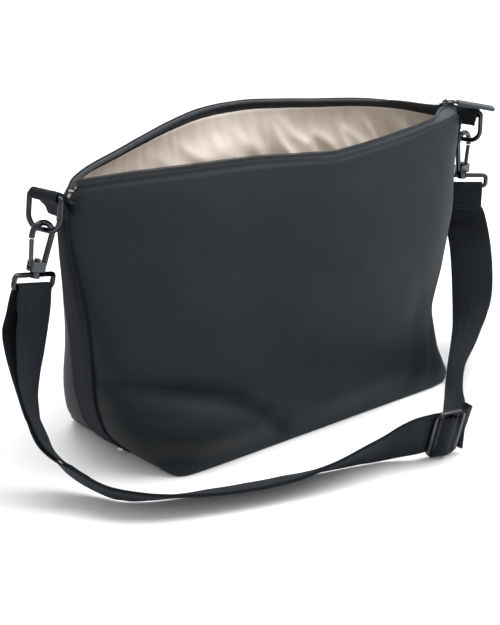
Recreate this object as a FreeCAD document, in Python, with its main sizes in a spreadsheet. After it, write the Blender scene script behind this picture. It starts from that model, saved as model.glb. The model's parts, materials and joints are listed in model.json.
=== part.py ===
import FreeCAD, Part
import Sketcher
import math
import os

# Zip-top shoulder bag with an adjustable webbing strap.
# Millimetres. X runs along the bag, -Y is its front, +Z is up.
# The origin is the middle of the base, on the plane the bag stands on.

V = FreeCAD.Vector
X_AXIS = V(1, 0, 0)
Y_AXIS = V(0, 1, 0)
Z_AXIS = V(0, 0, 1)

doc = FreeCAD.newDocument("ShoulderBag")

# ---------------------------------------------------------------- driving sizes
SIZES = [
    ("base_length", 298.0), ("base_depth", 150.0), ("bag_height", 219.0),
    ("shell_thick", 1.0), ("lining_thick", 0.5), ("lining_inset", 3.4), ("base_thick", 1.4),
    ("strip_width", 29.0), ("strip_thick", 1.6),
    ("tape_thick", 0.6), ("tape_rise", 5.0), ("coil_half", 1.0), ("coil_thick", 1.8),
    ("zip_line_y", 3.0), ("zip_line_z", 223.5), ("coil_offset", 1.65),
    ("strap_width", 38.0), ("strap_thick", 1.5), ("layer_gap", 2.1),
    ("tab_radius", 4.7), ("tab_bore", 2.17), ("tab_length", 26.0),
    ("ring_wire", 2.1), ("ring_half", 15.6), ("ring_drop", 26.0), ("ring_corner", 2.4), ("ring_bend", 10.0),
    ("bow_wire", 2.3), ("bow_radius", 8.8), ("bow_height", 29.0), ("nose_length", 3.2),
    ("block_radius", 7.3), ("block_depth", 8.4), ("block_low", 1.0), ("block_tall", 7.5),
    ("slot_depth", 4.0), ("knuckle_x", 5.2), ("knuckle_z", 5.6), ("knuckle_radius", 1.9),
    ("knuckle_length", 2.6), ("gate_wire", 1.8), ("gate_start", 1.75), ("gate_length", 19.4),
    ("pin_radius", 0.8), ("pin_clear", 0.06), ("pin_length", 8.0),
    ("spring_wire", 0.3), ("spring_radius", 1.25),
    ("stem_radius", 1.75), ("stem_bore", 1.83), ("stem_head", 2.3), ("head_thick", 1.5),
    ("loop_wire", 2.0), ("loop_half", 22.0), ("loop_top", 2.0), ("loop_low", 12.0),
    ("loop_corner", 3.0), ("boss_radius", 4.0), ("boss_low", 4.4),
    ("frame_across", 46.0), ("frame_along", 28.0), ("frame_thick", 3.2), ("frame_rim", 3.2),
    ("frame_chamfer", 5.0), ("bar_radius", 1.5),
    ("slider_length", 9.0), ("slider_width", 5.4), ("plate_thick", 1.0), ("slider_gap", 2.9),
    ("post_radius", 0.8), ("crown_radius", 3.1), ("crown_wire", 0.7),
    ("link_wire", 0.7), ("link_half", 3.4), ("link_length", 7.0), ("link_corner", 1.2),
    ("pull_length", 38.0), ("pull_width", 11.0), ("leather_thick", 1.5), ("pull_bore", 0.78),
]

sheet = doc.addObject("Spreadsheet::Sheet", "Dims")
size = {}
for row, (alias, value) in enumerate(SIZES, start=1):
    sheet.set("A%d" % row, alias)
    sheet.set("B%d" % row, str(value))
    sheet.setAlias("B%d" % row, alias)
    size[alias] = value
doc.recompute()


def dim(text):
    """Turn a short formula over size names into an expression on the sheet."""
    out = ""
    word = ""
    for ch in text + " ":
        if ch.isalnum() or ch == "_":
            word += ch
            continue
        out += ("Dims." + word) if word in size else word
        word = ""
        out += ch
    return out.strip()


def bind(obj, **formulas):
    for prop, text in formulas.items():
        obj.setExpression(prop, dim(text))


# ---------------------------------------------------------------- primitives
def locate(obj, at, rotation=None):
    """Place a primitive: every coordinate is a number or a formula on the sheet."""
    if at is None:
        return
    obj.Placement = FreeCAD.Placement(V(0, 0, 0), rotation or FreeCAD.Rotation())
    for axis, value in zip("xyz", at):
        obj.setExpression("Placement.Base." + axis, dim(str(value)))


def rod(name, radius, length, at, axis=Z_AXIS):
    """Round bar that starts at the given point and runs along the axis."""
    obj = doc.addObject("Part::Cylinder", name)
    bind(obj, Radius=radius, Height=length)
    locate(obj, at, FreeCAD.Rotation(Z_AXIS, axis))
    return obj


def bend(name, ring_radius, wire, at, start, sweep):
    """Bent bar in the XZ plane, from the start angle (X towards Z) over the sweep."""
    obj = doc.addObject("Part::Torus", name)
    bind(obj, Radius1=ring_radius, Radius2=wire)
    obj.Angle3 = sweep
    turn = FreeCAD.Rotation(Y_AXIS, -start).multiply(FreeCAD.Rotation(X_AXIS, 90))
    locate(obj, at, turn)
    return obj


def block(name, length, width, height, at):
    obj = doc.addObject("Part::Box", name)
    bind(obj, Length=length, Width=width, Height=height)
    locate(obj, at)
    return obj


def join(name, pieces):
    obj = doc.addObject("Part::MultiFuse", name)
    obj.Shapes = pieces
    return obj


def cut(name, base, tool):
    obj = doc.addObject("Part::Cut", name)
    obj.Base = base
    obj.Tool = tool
    return obj


nodes = []


def keep(obj, label, placement=None):
    """Register a finished sub-part under its node name."""
    obj.Label = label
    if placement is not None:
        obj.Placement = placement
    nodes.append(obj)
    return obj


def wire_frame(name, half, top, low, top_corner, low_corner, wire):
    """Closed rounded frame of round wire in the XZ plane, between two heights."""
    upright = "%s - %s - %s - %s" % (top, low, top_corner, low_corner)
    pieces = [
        rod(name + "LegA", wire, upright, (half, 0, "%s + %s" % (low, low_corner))),
        rod(name + "LegB", wire, upright, ("-" + half, 0, "%s + %s" % (low, low_corner))),
    ]
    for level, height, corner, sign, first in (("Top", top, top_corner, "-", 0),
                                               ("Low", low, low_corner, "+", 180)):
        pieces.append(rod(name + level + "Bar", wire, "2 * (%s - %s)" % (half, corner),
                          ("%s - %s" % (corner, half), 0, height), X_AXIS))
        for turn in (0, 90):
            side = "" if (first + turn) in (0, 270) else "-"
            at = ("%s(%s - %s)" % (side, half, corner), 0, "%s %s %s" % (height, sign, corner))
            pieces.append(bend("%s%sCorner%d" % (name, level, turn), corner, wire, at,
                               first + turn, 90))
    return pieces


# ---------------------------------------------------------------- cloth sheets
def skin(points, thickness):
    """Solid sheet of even thickness centred on a grid of points."""
    rows = len(points)
    cols = len(points[0])
    faces_at = []
    for side in (-0.5, 0.5):
        grid = []
        for i in range(rows):
            line = []
            for j in range(cols):
                along = points[i][min(j + 1, cols - 1)] - points[i][max(j - 1, 0)]
                across = points[min(i + 1, rows - 1)][j] - points[max(i - 1, 0)][j]
                normal = along.cross(across)
                normal.normalize()
                line.append(points[i][j] + normal * (side * thickness))
            grid.append(line)
        surface = Part.BSplineSurface()
        surface.interpolate(grid)
        faces_at.append(surface)
    low, high = faces_at
    u0, u1, v0, v1 = low.bounds()
    p0, p1, q0, q1 = high.bounds()
    walls = []
    for a, b in ((low.uIso(u0), high.uIso(p0)), (low.uIso(u1), high.uIso(p1)),
                 (low.vIso(v0), high.vIso(q0)), (low.vIso(v1), high.vIso(q1))):
        walls.append(Part.makeRuledSurface(a.toShape(), b.toShape()))
    shell = Part.makeShell([low.toShape(), high.toShape()] + walls)
    shell.sewShape()
    solid = Part.makeSolid(shell)
    if solid.Volume < 0:
        solid.reverse()
    return solid


def cloth(label, shape, placement=None):
    obj = doc.addObject("Part::Feature", label)
    obj.Shape = shape
    return keep(obj, label, placement)


def mix(value, stops):
    """Straight-line reading of a short list of (position, value...) stops."""
    if value <= stops[0][0]:
        return stops[0][1:]
    for a, b in zip(stops, stops[1:]):
        if value <= b[0]:
            w = (value - a[0]) / (b[0] - a[0])
            return tuple(p + (q - p) * w for p, q in zip(a[1:], b[1:]))
    return stops[-1][1:]


HEIGHT = size["bag_height"]
HALF_LENGTH = size["base_length"] / 2
HALF_DEPTH = size["base_depth"] / 2

# Horizontal section of the bag at each height: left end, right end, front depth,
# back depth, squareness (20 is nearly a rectangle, under 2 is pointed at the side seams).
SECTIONS = [
    (0.0, -HALF_LENGTH, HALF_LENGTH, HALF_DEPTH, HALF_DEPTH, 20.0),
    (12.0, -163.5, 161.0, 77.0, 76.0, 7.0),
    (30.0, -176.5, 161.5, 80.0, 78.0, 4.2),
    (60.0, -184.5, 163.0, 82.0, 78.0, 3.1),
    (100.0, -187.0, 185.5, 78.0, 77.0, 2.6),
    (140.0, -192.5, 206.5, 70.0, 78.0, 2.2),
    (180.0, -198.0, 217.5, 60.0, 80.0, 1.9),
    (205.0, -200.0, 226.0, 53.5, 83.0, 1.6),
    (HEIGHT, -193.0, 229.0, 50.0, 85.0, 1.4),
]
# Height of the mouth edge along X: the hardware pulls both end corners down.
FRONT_EDGE = [(-193, 219), (-178, 225), (-145, 228), (-60, 227), (0, 222), (40, 217.5),
              (140, 217), (212, 217), (229, 213)]
BACK_EDGE = [(-193, 219), (-178, 226.5), (-150, 228.5), (-120, 229.2), (-80, 232.5), (-40, 237),
             (0, 240), (40, 240), (80, 237), (110, 234), (150, 231), (180, 226.5), (212, 218),
             (229, 213)]
LEVELS = [0.5, 6, 14, 26, 42, 62, 86, 112, 140, 168, 194, 206, HEIGHT]
COLUMNS = 41
SEAM_GAP = 2.2


def cut_height(level, x, front):
    """Height of a level at one X, where the mouth edge is cut in a slight curve."""
    edge = mix(x, FRONT_EDGE if front else BACK_EDGE)[0]
    return level + (edge - HEIGHT) * (level / HEIGHT) ** 3


def section_row(level, front, inset=0.0):
    """Evenly spaced points along one side of the bag at one level, left to right."""
    left, right, depth_f, depth_b, power = mix(level, SECTIONS)
    depth = (depth_f if front else depth_b) - inset
    half = (right - left) / 2 - inset
    middle = (left + right) / 2
    first = math.asin((SEAM_GAP / depth) ** (power / 2))
    dense = []
    for k in range(241):
        t = math.pi - first - (math.pi - 2 * first) * k / 240
        c = math.cos(t)
        x = middle + half * math.copysign(abs(c) ** (2 / power), c)
        y = depth * math.sin(t) ** (2 / power) * (-1 if front else 1)
        dense.append(V(x, y, cut_height(level, x, front)))
    run = [0.0]
    for a, b in zip(dense, dense[1:]):
        run.append(run[-1] + (b - a).Length)
    row = []
    k = 0
    for j in range(COLUMNS):
        target = run[-1] * j / (COLUMNS - 1)
        while k < len(dense) - 2 and run[k + 1] < target:
            k += 1
        w = (target - run[k]) / (run[k + 1] - run[k])
        row.append(dense[k] + (dense[k + 1] - dense[k]) * w)
    return row


def ridge_x(level, y, left_side):
    """X of the side of the bag at a height and a distance from its middle plane."""
    left, right, depth_f, depth_b, power = mix(level, SECTIONS)
    depth = depth_f if y < 0 else depth_b
    reach = (right - left) / 2 * (1 - (abs(y) / depth) ** power) ** (1 / power)
    middle = (left + right) / 2
    return middle - reach if left_side else middle + reach


for front in (True, False):
    word = "front" if front else "back"
    cloth(word + "_panel", skin([section_row(z, front) for z in LEVELS], size["shell_thick"]))
    inner = [section_row(min(max(z, 3.2), HEIGHT - 8.0), front, size["lining_inset"])
             for z in LEVELS]
    cloth(word + "_lining", skin(inner, size["lining_thick"]))


def flat_sheet(half_x, half_y, power, z, thickness):
    """Flat rounded rectangle of cloth."""
    rim = []
    for k in range(48):
        t = 2 * math.pi * k / 48
        c = math.cos(t)
        s = math.sin(t)
        rim.append(V(half_x * math.copysign(abs(c) ** (2 / power), c),
                     half_y * math.copysign(abs(s) ** (2 / power), s), z))
    curve = Part.BSplineCurve()
    curve.interpolate(rim, PeriodicFlag=True)
    return Part.Face(Part.Wire(curve.toShape())).extrude(V(0, 0, thickness))


cloth("base_panel", flat_sheet(HALF_LENGTH - 2.2, HALF_DEPTH - 2.2, 7.0, 0.0, size["base_thick"]))
cloth("base_lining", flat_sheet(HALF_LENGTH - 7.0, HALF_DEPTH - 7.0, 6.0, 1.8,
                                size["lining_thick"]))

# Woven strip sewn over each side seam, from the base up to the tab.
STRIP_LEVELS = [6, 14, 26, 42, 62, 86, 112, 140, 168, 194, 206]
for left_side in (True, False):
    out = -1 if left_side else 1
    stand_off = size["shell_thick"] / 2 + size["strip_thick"] / 2 + 1.3
    rows = []
    for level in STRIP_LEVELS:
        row = []
        for k in range(-4, 5):
            y = size["strip_width"] * 0.9 * k / 8
            x = ridge_x(level, y, left_side)
            slope = (ridge_x(level, y + 0.5, left_side) - ridge_x(level, y - 0.5, left_side)) * out
            away = V(out, -slope, 0)
            away.normalize()
            row.append(V(x, y, cut_height(level, x, y < 0)) + away * stand_off)
        rows.append(row)
    cloth("side_strip_" + ("left" if left_side else "right"), skin(rows, size["strip_thick"]))

# ---------------------------------------------------------------- zip fastener
ZIP_Y = size["zip_line_y"]
ZIP_Z = size["zip_line_z"]


def smooth(value):
    value = min(max(value, 0.0), 1.0)
    return value * value * (3 - 2 * value)


def bowed(top, front):
    """How far the tape leans in over the lining: only the back one does, up to its right end."""
    return 0.0 if front else 1.0 - smooth((top.x - 130.0) / 50.0)


def coil_point(top, front):
    """Centre of the coil beside one point of the mouth edge; it closes up at the right."""
    inward = 1 if front else -1
    bow = bowed(top, front)
    free = V(top.x, top.y + inward * (2.0 + 3.0 * bow), top.z + size["tape_rise"] - 6.0 * bow)
    close = smooth((top.x - 172.0) / 46.0)
    closed = V(top.x, ZIP_Y - inward * size["coil_offset"], ZIP_Z)
    return free + (closed - free) * close


for front in (True, False):
    word = "front" if front else "back"
    inward = 1 if front else -1
    edge = section_row(HEIGHT, front)
    sewn = section_row(HEIGHT - 5.5, front, 1.9)
    tape_rows = [[], [], [], []]
    coil_rows = [[], [], []]
    for top, hem in zip(edge, sewn):
        if not -184 < top.x < 221:
            continue
        centre = coil_point(top, front)
        bow = bowed(top, front)
        lip = V(top.x, top.y + inward * (1.9 + 0.6 * bow), top.z + 0.4 - 0.3 * bow)
        reach = centre - lip
        reach.normalize()
        end = centre - reach * (size["coil_half"] + 0.12)
        tape_rows[0].append(hem)
        tape_rows[1].append((hem + lip) * 0.5)
        tape_rows[2].append(lip)
        tape_rows[3].append(end)
        for row, offset in zip(coil_rows, (-1, 0, 1)):
            row.append(centre + reach * (size["coil_half"] * offset))
    cloth("zip_tape_" + word, skin(tape_rows, size["tape_thick"]))
    cloth("zip_coil_" + word, skin(coil_rows, size["coil_thick"]))

SLIDER_X = 213.0
slider_at = FreeCAD.Placement(V(SLIDER_X, ZIP_Y, ZIP_Z), FreeCAD.Rotation())
plates = []
for word, low in (("Lower", "-slider_gap / 2 - plate_thick"), ("Upper", "slider_gap / 2")):
    plates.append(block("Slider" + word, "slider_length", "slider_width", "plate_thick",
                        ("-slider_length / 2", "-slider_width / 2", low)))
post = rod("SliderPost", "post_radius", "slider_gap + plate_thick",
           ("1.0 - slider_length / 2", 0, "-slider_gap / 2 - plate_thick / 2"))
crown = bend("SliderCrown", "crown_radius", "crown_wire",
             (0, 0, "slider_gap / 2 + plate_thick - 0.4"), 0, 180)
keep(join("SliderBody", plates + [post, crown]), "zip_slider", slider_at)

# Wire link hung through the crown; the leather pull turns on its far bar.
PULL_YAW = FreeCAD.Rotation(Z_AXIS, -35.0)
link_axis = V(SLIDER_X, ZIP_Y, ZIP_Z + size["slider_gap"] / 2 + size["plate_thick"] + 1.0)
link = join("PullLink", wire_frame("Link", "link_half", "0", "-link_length", "link_corner",
                                   "link_corner", "link_wire"))
lay_flat = FreeCAD.Rotation(Y_AXIS, -90).multiply(FreeCAD.Rotation(Z_AXIS, 90))
keep(link, "pull_link", FreeCAD.Placement(link_axis, PULL_YAW.multiply(lay_flat)))

pull_axis = link_axis + PULL_YAW.multVec(X_AXIS) * size["link_length"]
pull_at = FreeCAD.Placement(pull_axis, PULL_YAW.multiply(FreeCAD.Rotation(Y_AXIS, 11.0)))


def plane_of(body, role):
    return next(f for f in body.Origin.OriginFeatures if f.Role == role)


def flat_sketch(body, name, role="XY_Plane"):
    sketch = body.newObject("Sketcher::SketchObject", name)
    sketch.AttachmentSupport = [(plane_of(body, role), "")]
    sketch.MapMode = "FlatFace"
    return sketch


def number(text):
    """Plain value of a formula made of size names, numbers and + - * / with spaces."""
    total = 0.0
    sign = 1.0
    term = None
    action = ""
    for word in text.split():
        if word in ("+", "-"):
            if term is not None:
                total += sign * term
            sign = -1.0 if word == "-" else 1.0
            term = None
        elif word in ("*", "/"):
            action = word
        else:
            value = size[word] if word in size else float(word)
            if term is None:
                term = value
            else:
                term = term * value if action == "*" else term / value
    return total + sign * term


def polygon(sketch, corners):
    """Closed polygon; each corner is a pair of formulas held by the sheet."""
    start = [V(number(cx), number(cy), 0) for cx, cy in corners]
    count = len(start)
    first = sketch.GeometryCount
    for k in range(count):
        sketch.addGeometry(Part.LineSegment(start[k], start[(k + 1) % count]), False)
    for k in range(count):
        after = first + (k + 1) % count
        sketch.addConstraint(Sketcher.Constraint("Coincident", first + k, 2, after, 1))
    for k, corner in enumerate(corners):
        for kind, text in zip(("DistanceX", "DistanceY"), corner):
            fixed = Sketcher.Constraint(kind, -1, 1, first + k, 1, number(text))
            index = sketch.addConstraint(fixed)
            sketch.setExpression("Constraints[%d]" % index, dim(text))


def rectangle(x_low, x_high, y_low, y_high):
    return [(x_low, y_low), (x_high, y_low), (x_high, y_high), (x_low, y_high)]


def chamfered(half_x, half_y, corner):
    """Corners of a rectangle about the origin with its corners cut off."""
    points = []
    for sx, sy in (("", "-"), ("", ""), ("-", ""), ("-", "-")):
        inner_x = "- %s + %s" % (half_x, corner) if sx else "%s - %s" % (half_x, corner)
        inner_y = "- %s + %s" % (half_y, corner) if sy else "%s - %s" % (half_y, corner)
        outer_x = "%s %s" % (sx, half_x)
        outer_y = "%s %s" % (sy, half_y)
        pair = [(inner_x, outer_y), (outer_x, inner_y)]
        points += pair if (sx == "") == (sy == "-") else pair[::-1]
    return points


def padded_body(name, loops, length, placement):
    """Plate padded evenly about its sketch plane; inner loops are its windows."""
    body = doc.addObject("PartDesign::Body", name + "_body")
    sketch = flat_sketch(body, name + "Outline")
    for loop in loops:
        polygon(sketch, loop)
    pad = body.newObject("PartDesign::Pad", name + "Pad")
    pad.Profile = sketch
    pad.Midplane = True
    bind(pad, Length=length)
    return keep(body, name, placement)


# Leather pull: two leather layers round the far bar of the link.
half_width = "pull_width / 2"
near = "pull_bore + 0.5"
tip = "pull_length"
for word, low in (("upper", 0.0), ("lower", -size["leather_thick"] - 0.04)):
    body = doc.addObject("PartDesign::Body", "pull_" + word + "_body")
    sketch = flat_sketch(body, "Pull" + word)
    polygon(sketch, [("4", "- " + half_width), (tip + " - 1", "- " + half_width),
                     (tip, "- " + half_width + " + 1"), (tip, half_width + " - 1"),
                     (tip + " - 1", half_width), ("4", half_width)])
    pad = body.newObject("PartDesign::Pad", "PullPad" + word)
    pad.Profile = sketch
    bind(pad, Length="leather_thick")
    keep(body, "pull_leather_" + word, pull_at.multiply(
        FreeCAD.Placement(V(0, 0, low + 0.02), FreeCAD.Rotation())))

# Metal clasp that grips the leather and turns on the link.
clasp_tube = rod("ClaspTube", "pull_bore + 0.6", "pull_width - 7.4",
                 (0, "3.7 - pull_width / 2", 0), Y_AXIS)
clasp_plate = block("ClaspPlate", "3.0", "pull_width - 7.4", "2 * leather_thick - 0.6",
                    ("0.9", "3.7 - pull_width / 2", "0.3 - leather_thick"))
clasp_bore = rod("ClaspBore", "pull_bore", "pull_width", (0, "-pull_width / 2", 0), Y_AXIS)
keep(cut("ClaspCut", join("ClaspJoin", [clasp_tube, clasp_plate]), clasp_bore), "pull_clasp",
     pull_at)

# End stops: one pinched over both coils beside the slider, one at the far end.
keep(block("RightStop", "1.6", "5.6", "0.5", None), "zip_stop_right",
     FreeCAD.Placement(V(218.9, ZIP_Y - 2.8, ZIP_Z + 1.5), FreeCAD.Rotation()))
keep(block("LeftStop", "2.0", "4.6", "2.6", None), "zip_stop_left",
     FreeCAD.Placement(V(-191.6, -2.3, 221.5), FreeCAD.Rotation()))

# ---------------------------------------------------------------- rings, hooks and loops
SIDES = {
    "left": {"out": -1, "tab": V(-213.5, 0, 224.8), "tab_turn": 14.0, "lean": 8.0,
             "hook": V(-226.0, -1.0, 167.8), "hook_turn": FreeCAD.Rotation(Y_AXIS, 15),
             "loop_turn": FreeCAD.Rotation(Y_AXIS, 15).multiply(FreeCAD.Rotation(Z_AXIS, 15)),
             "tongue": 36.0, "tongue_length": "16.5"},
    "right": {"out": 1, "tab": V(236.0, 0, 215.5), "tab_turn": 20.0, "lean": 0.0,
              "hook": V(236.0, 0, 157.6), "hook_turn": FreeCAD.Rotation(Z_AXIS, 190),
              "loop_turn": FreeCAD.Rotation(Z_AXIS, -40),
              "tongue": 175.0, "tongue_length": "6.0"},
}
for side, where in SIDES.items():
    tag = side.capitalize()
    tab_turn = FreeCAD.Rotation(Z_AXIS, where["tab_turn"])
    swing = FreeCAD.Rotation(Y_AXIS, where["lean"]).multiply(FreeCAD.Rotation(Z_AXIS, 90))

    roll = rod(tag + "TabRoll", "tab_radius", "tab_length", (0, "-tab_length / 2", 0), Y_AXIS)
    tongue = block(tag + "TabTongue", where["tongue_length"], "tab_length", "3.2",
                   (0, "-tab_length / 2", "-1.6"))
    tongue.Placement.Rotation = FreeCAD.Rotation(Y_AXIS, where["tongue"])
    bore = rod(tag + "TabBore", "tab_bore", "tab_length + 2", (0, "-tab_length / 2 - 1", 0),
               Y_AXIS)
    keep(cut(tag + "TabCut", join(tag + "TabJoin", [roll, tongue]), bore), "tab_" + side,
         FreeCAD.Placement(where["tab"], tab_turn))

    keep(join(tag + "Ring", wire_frame(tag + "Ring", "ring_half", "0", "-ring_drop",
                                       "ring_corner", "ring_bend", "ring_wire")),
         "ring_" + side, FreeCAD.Placement(where["tab"], tab_turn.multiply(swing)))

    at = FreeCAD.Placement(where["hook"], where["hook_turn"])
    base = doc.addObject("Part::Common", tag + "Base")
    base.Base = rod(tag + "BaseRound", "block_radius", "block_tall", (0, 0, "block_low"))
    base.Tool = block(tag + "BaseFlat", "4 * block_radius", "block_depth", "block_tall",
                      ("-2 * block_radius", "-block_depth / 2", "block_low"))
    lean = math.atan2(2.6, size["bow_height"] - 4.0)
    spine_length = math.hypot(2.6, size["bow_height"] - 4.0)
    spine = rod(tag + "Spine", "bow_wire", str(spine_length), ("bow_radius - 2.6", 0, "4"),
                V(math.sin(lean), 0, math.cos(lean)))
    bow = bend(tag + "Bow", "bow_radius", "bow_wire", (0, 0, "bow_height"), 0, 180)
    nose = rod(tag + "Nose", "bow_wire", "nose_length",
               ("-bow_radius", 0, "bow_height - nose_length"))
    solid = join(tag + "HookSolid", [base, spine, bow, nose])
    stem_bore = rod(tag + "StemBore", "stem_bore", "block_tall + 2", (0, 0, 0))
    slot = block(tag + "GateSlot", "8", "slot_depth", "12",
                 ("-10.9", "-slot_depth / 2", "2.9"))
    pin_bore = rod(tag + "PinBore", "pin_radius + pin_clear", "12",
                   ("-knuckle_x", -6, "knuckle_z"), Y_AXIS)
    openings = join(tag + "HookOpenings", [stem_bore, slot, pin_bore])
    keep(cut(tag + "HookCut", solid, openings), "hook_body_" + side, at)

    knuckle = rod(tag + "Knuckle", "knuckle_radius", "knuckle_length",
                  ("-knuckle_x", "-slot_depth / 2 + 0.12", "knuckle_z"), Y_AXIS)
    gate_lean = -math.atan2(3.4, size["gate_length"])
    gate_way = V(math.sin(gate_lean), 0, math.cos(gate_lean))
    arm = rod(tag + "GateArm", "gate_wire", "gate_length - gate_start",
              ("-knuckle_x + gate_start * %.4f" % gate_way.x, 0,
               "knuckle_z + gate_start * %.4f" % gate_way.z), gate_way)
    gate_bore = rod(tag + "GateBore", "pin_radius + pin_clear", "12",
                    ("-knuckle_x", -6, "knuckle_z"), Y_AXIS)
    keep(cut(tag + "GateCut", join(tag + "GateJoin", [knuckle, arm]), gate_bore),
         "gate_" + side, at)
    keep(rod(tag + "Pin", "pin_radius", "pin_length", None), "gate_pin_" + side,
         at.multiply(FreeCAD.Placement(V(-size["knuckle_x"], -size["pin_length"] / 2,
                                         size["knuckle_z"]), FreeCAD.Rotation(Z_AXIS, Y_AXIS))))
    keep(bend(tag + "Spring", "spring_radius", "spring_wire", None, 0, 300),
         "gate_spring_" + side,
         at.multiply(FreeCAD.Placement(V(-size["knuckle_x"], 1.3, size["knuckle_z"]),
                                       FreeCAD.Rotation(X_AXIS, 90))))

    loop_at = FreeCAD.Placement(where["hook"], where["loop_turn"])
    pieces = wire_frame(tag + "Loop", "loop_half", "-loop_top", "-loop_low", "loop_corner",
                        "loop_corner", "loop_wire")
    pieces.append(rod(tag + "Boss", "boss_radius", "boss_low + 0.7", (0, 0, "-boss_low")))
    pieces.append(rod(tag + "Stem", "stem_radius", "block_low + block_tall + 1.6", (0, 0, 0)))
    head_at = "block_low + block_tall + 0.35"
    pieces.append(rod(tag + "StemHead", "stem_head", "head_thick", (0, 0, head_at)))
    keep(join(tag + "StrapLoop", pieces), "strap_loop_" + side, loop_at)

# ---------------------------------------------------------------- strap
HALF_WEB = size["strap_width"] / 2
WRAP = size["loop_wire"] + size["strap_thick"] / 2 + 0.3


def heading(azimuth, rise):
    """Unit vector from its direction over the floor and its rise, in degrees."""
    a = math.radians(azimuth)
    e = math.radians(rise)
    return V(math.cos(e) * math.cos(a), math.cos(e) * math.sin(a), math.sin(e))


def refined(stations, longest):
    """Curve the free spans: add stations on a smooth curve wherever they lie far apart."""
    full = [stations[0]]
    last = len(stations) - 1
    for k in range(last):
        p0, p1, p2, p3 = (stations[min(max(k + n, 0), last)] for n in (-1, 0, 1, 2))
        span = (p2[0] - p1[0]).Length
        start = (p2[0] - p0[0]) * (span / ((p2[0] - p1[0]).Length + (p1[0] - p0[0]).Length))
        stop = (p3[0] - p1[0]) * (span / ((p3[0] - p2[0]).Length + (p2[0] - p1[0]).Length))
        steps = max(1, math.ceil(span / longest))
        for n in range(1, steps + 1):
            w = n / steps
            centre = (p1[0] * (2 * w ** 3 - 3 * w ** 2 + 1) + start * (w ** 3 - 2 * w ** 2 + w)
                      + p2[0] * (3 * w ** 2 - 2 * w ** 3) + stop * (w ** 3 - w ** 2))
            full.append((centre, p1[1] + (p2[1] - p1[1]) * w))
    return full


def ribbon(stations, width, thickness):
    """Webbing of flat section through stations of (centre, direction across it)."""
    stations = refined(stations, 9.0)
    wires = []
    last = len(stations) - 1
    for k, (centre, across) in enumerate(stations):
        run = stations[min(k + 1, last)][0] - stations[max(k - 1, 0)][0]
        run.normalize()
        side = across - run * across.dot(run)
        side.normalize()
        out = run.cross(side)
        corners = [centre + side * (width * s / 2) + out * (thickness * f / 2)
                   for s, f in ((-1, -1), (1, -1), (1, 1), (-1, 1))]
        wires.append(Part.makePolygon(corners + corners[:1]))
    return Part.makeLoft(wires, True, True)


def around(bar, across, outward, upward, start, stop):
    """Stations round a bar; angles run from the outward towards the upward direction."""
    found = []
    for k in range(9):
        a = math.radians(start + (stop - start) * k / 8)
        found.append((bar + outward * (WRAP * math.cos(a)) + upward * (WRAP * math.sin(a)),
                      across))
    return found


# Adjuster standing on its edge: a flat frame with a middle bar.
FRAME_ALONG = heading(-14, 0)
FRAME_ACROSS = heading(256, 72)
FRAME_OUT = FRAME_ALONG.cross(FRAME_ACROSS)
FRAME_AT = V(32.3, -181.9, 22.6)
frame_turn = FreeCAD.Rotation(FRAME_ALONG, FRAME_ACROSS, FRAME_OUT, "XYZ")
window = "frame_across / 2 - frame_rim"
window_low = "- frame_across / 2 + frame_rim"
padded_body("adjuster_frame",
            [chamfered("frame_along / 2", "frame_across / 2", "frame_chamfer"),
             rectangle("- frame_along / 2 + frame_rim", "- bar_radius", window_low, window),
             rectangle("bar_radius", "frame_along / 2 - frame_rim", window_low, window)],
            "frame_thick", FreeCAD.Placement(FRAME_AT, frame_turn))


def at_frame(along, out):
    return (FRAME_AT + FRAME_ALONG * along + FRAME_OUT * out, FRAME_ACROSS)


# Lower edge of the strap on the floor, left to right: x, y, direction of the upper edge, rise.
FLOOR_RUN = [(-217, -34, 186, 57), (-214, -60, 193, 46), (-206, -77, 214, 37),
             (-192, -89, 238, 31), (-172, -99, 245, 26), (-148, -108, 248, 22),
             (-120, -118, 249, 21), (-90, -127, 251, 23), (-58, -137.5, 251, 34),
             (-27, -147.5, 251, 49), (-8, -155, 251, 60)]
# Hanging part below the left loop: centre, direction across, spread of the two layers.
HANGING = [(V(-229.9, -1.3, 139), 197, 8, 9.5, 1.6), (V(-233.5, -3.3, 124), 199, 4, 12.0, 1.0),
           (V(-238.8, -7.5, 106.5), 205, 6, 8.0, 0.6), (V(-243.7, -12, 93), 212, 10, 4.2, 0.5),
           (V(-248, -18.5, 78), 220, 16, 1.8, 0.6), (V(-250, -26, 62), 226, 25, 1.3, 1.3),
           (V(-244, -32, 42), 212, 42, 1.0, 2.1)]
strap_path = [(p, heading(az, rise), outer, inner) for p, az, rise, outer, inner in HANGING]
for x, y, az, rise in FLOOR_RUN:
    across = heading(az, rise)
    lift = V(0, 0, 2.6 if y > -70 else 1.4)
    strap_path.append((V(x, y, 0) + across * HALF_WEB + lift, across, 0.0, size["layer_gap"]))

outer_layer = []
inner_layer = []
last = len(strap_path) - 1
for k, (centre, across, outer, inner) in enumerate(strap_path):
    run = strap_path[min(k + 1, last)][0] - strap_path[max(k - 1, 0)][0]
    out = run.cross(across)
    out.normalize()
    outer_layer.append((centre + out * outer, across))
    inner_layer.append((centre - out * inner, across))

left_bar = SIDES["left"]["hook"] + SIDES["left"]["loop_turn"].multVec(V(0, 0, -size["loop_low"]))
left_across = SIDES["left"]["loop_turn"].multVec(V(-1, 0, 0))
left_back = SIDES["left"]["loop_turn"].multVec(Y_AXIS)
left_up = SIDES["left"]["loop_turn"].multVec(Z_AXIS)
right_bar = SIDES["right"]["hook"] + V(0, 0, -size["loop_low"])
right_across = SIDES["right"]["loop_turn"].multVec(X_AXIS)
right_back = SIDES["right"]["loop_turn"].multVec(Y_AXIS)

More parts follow.
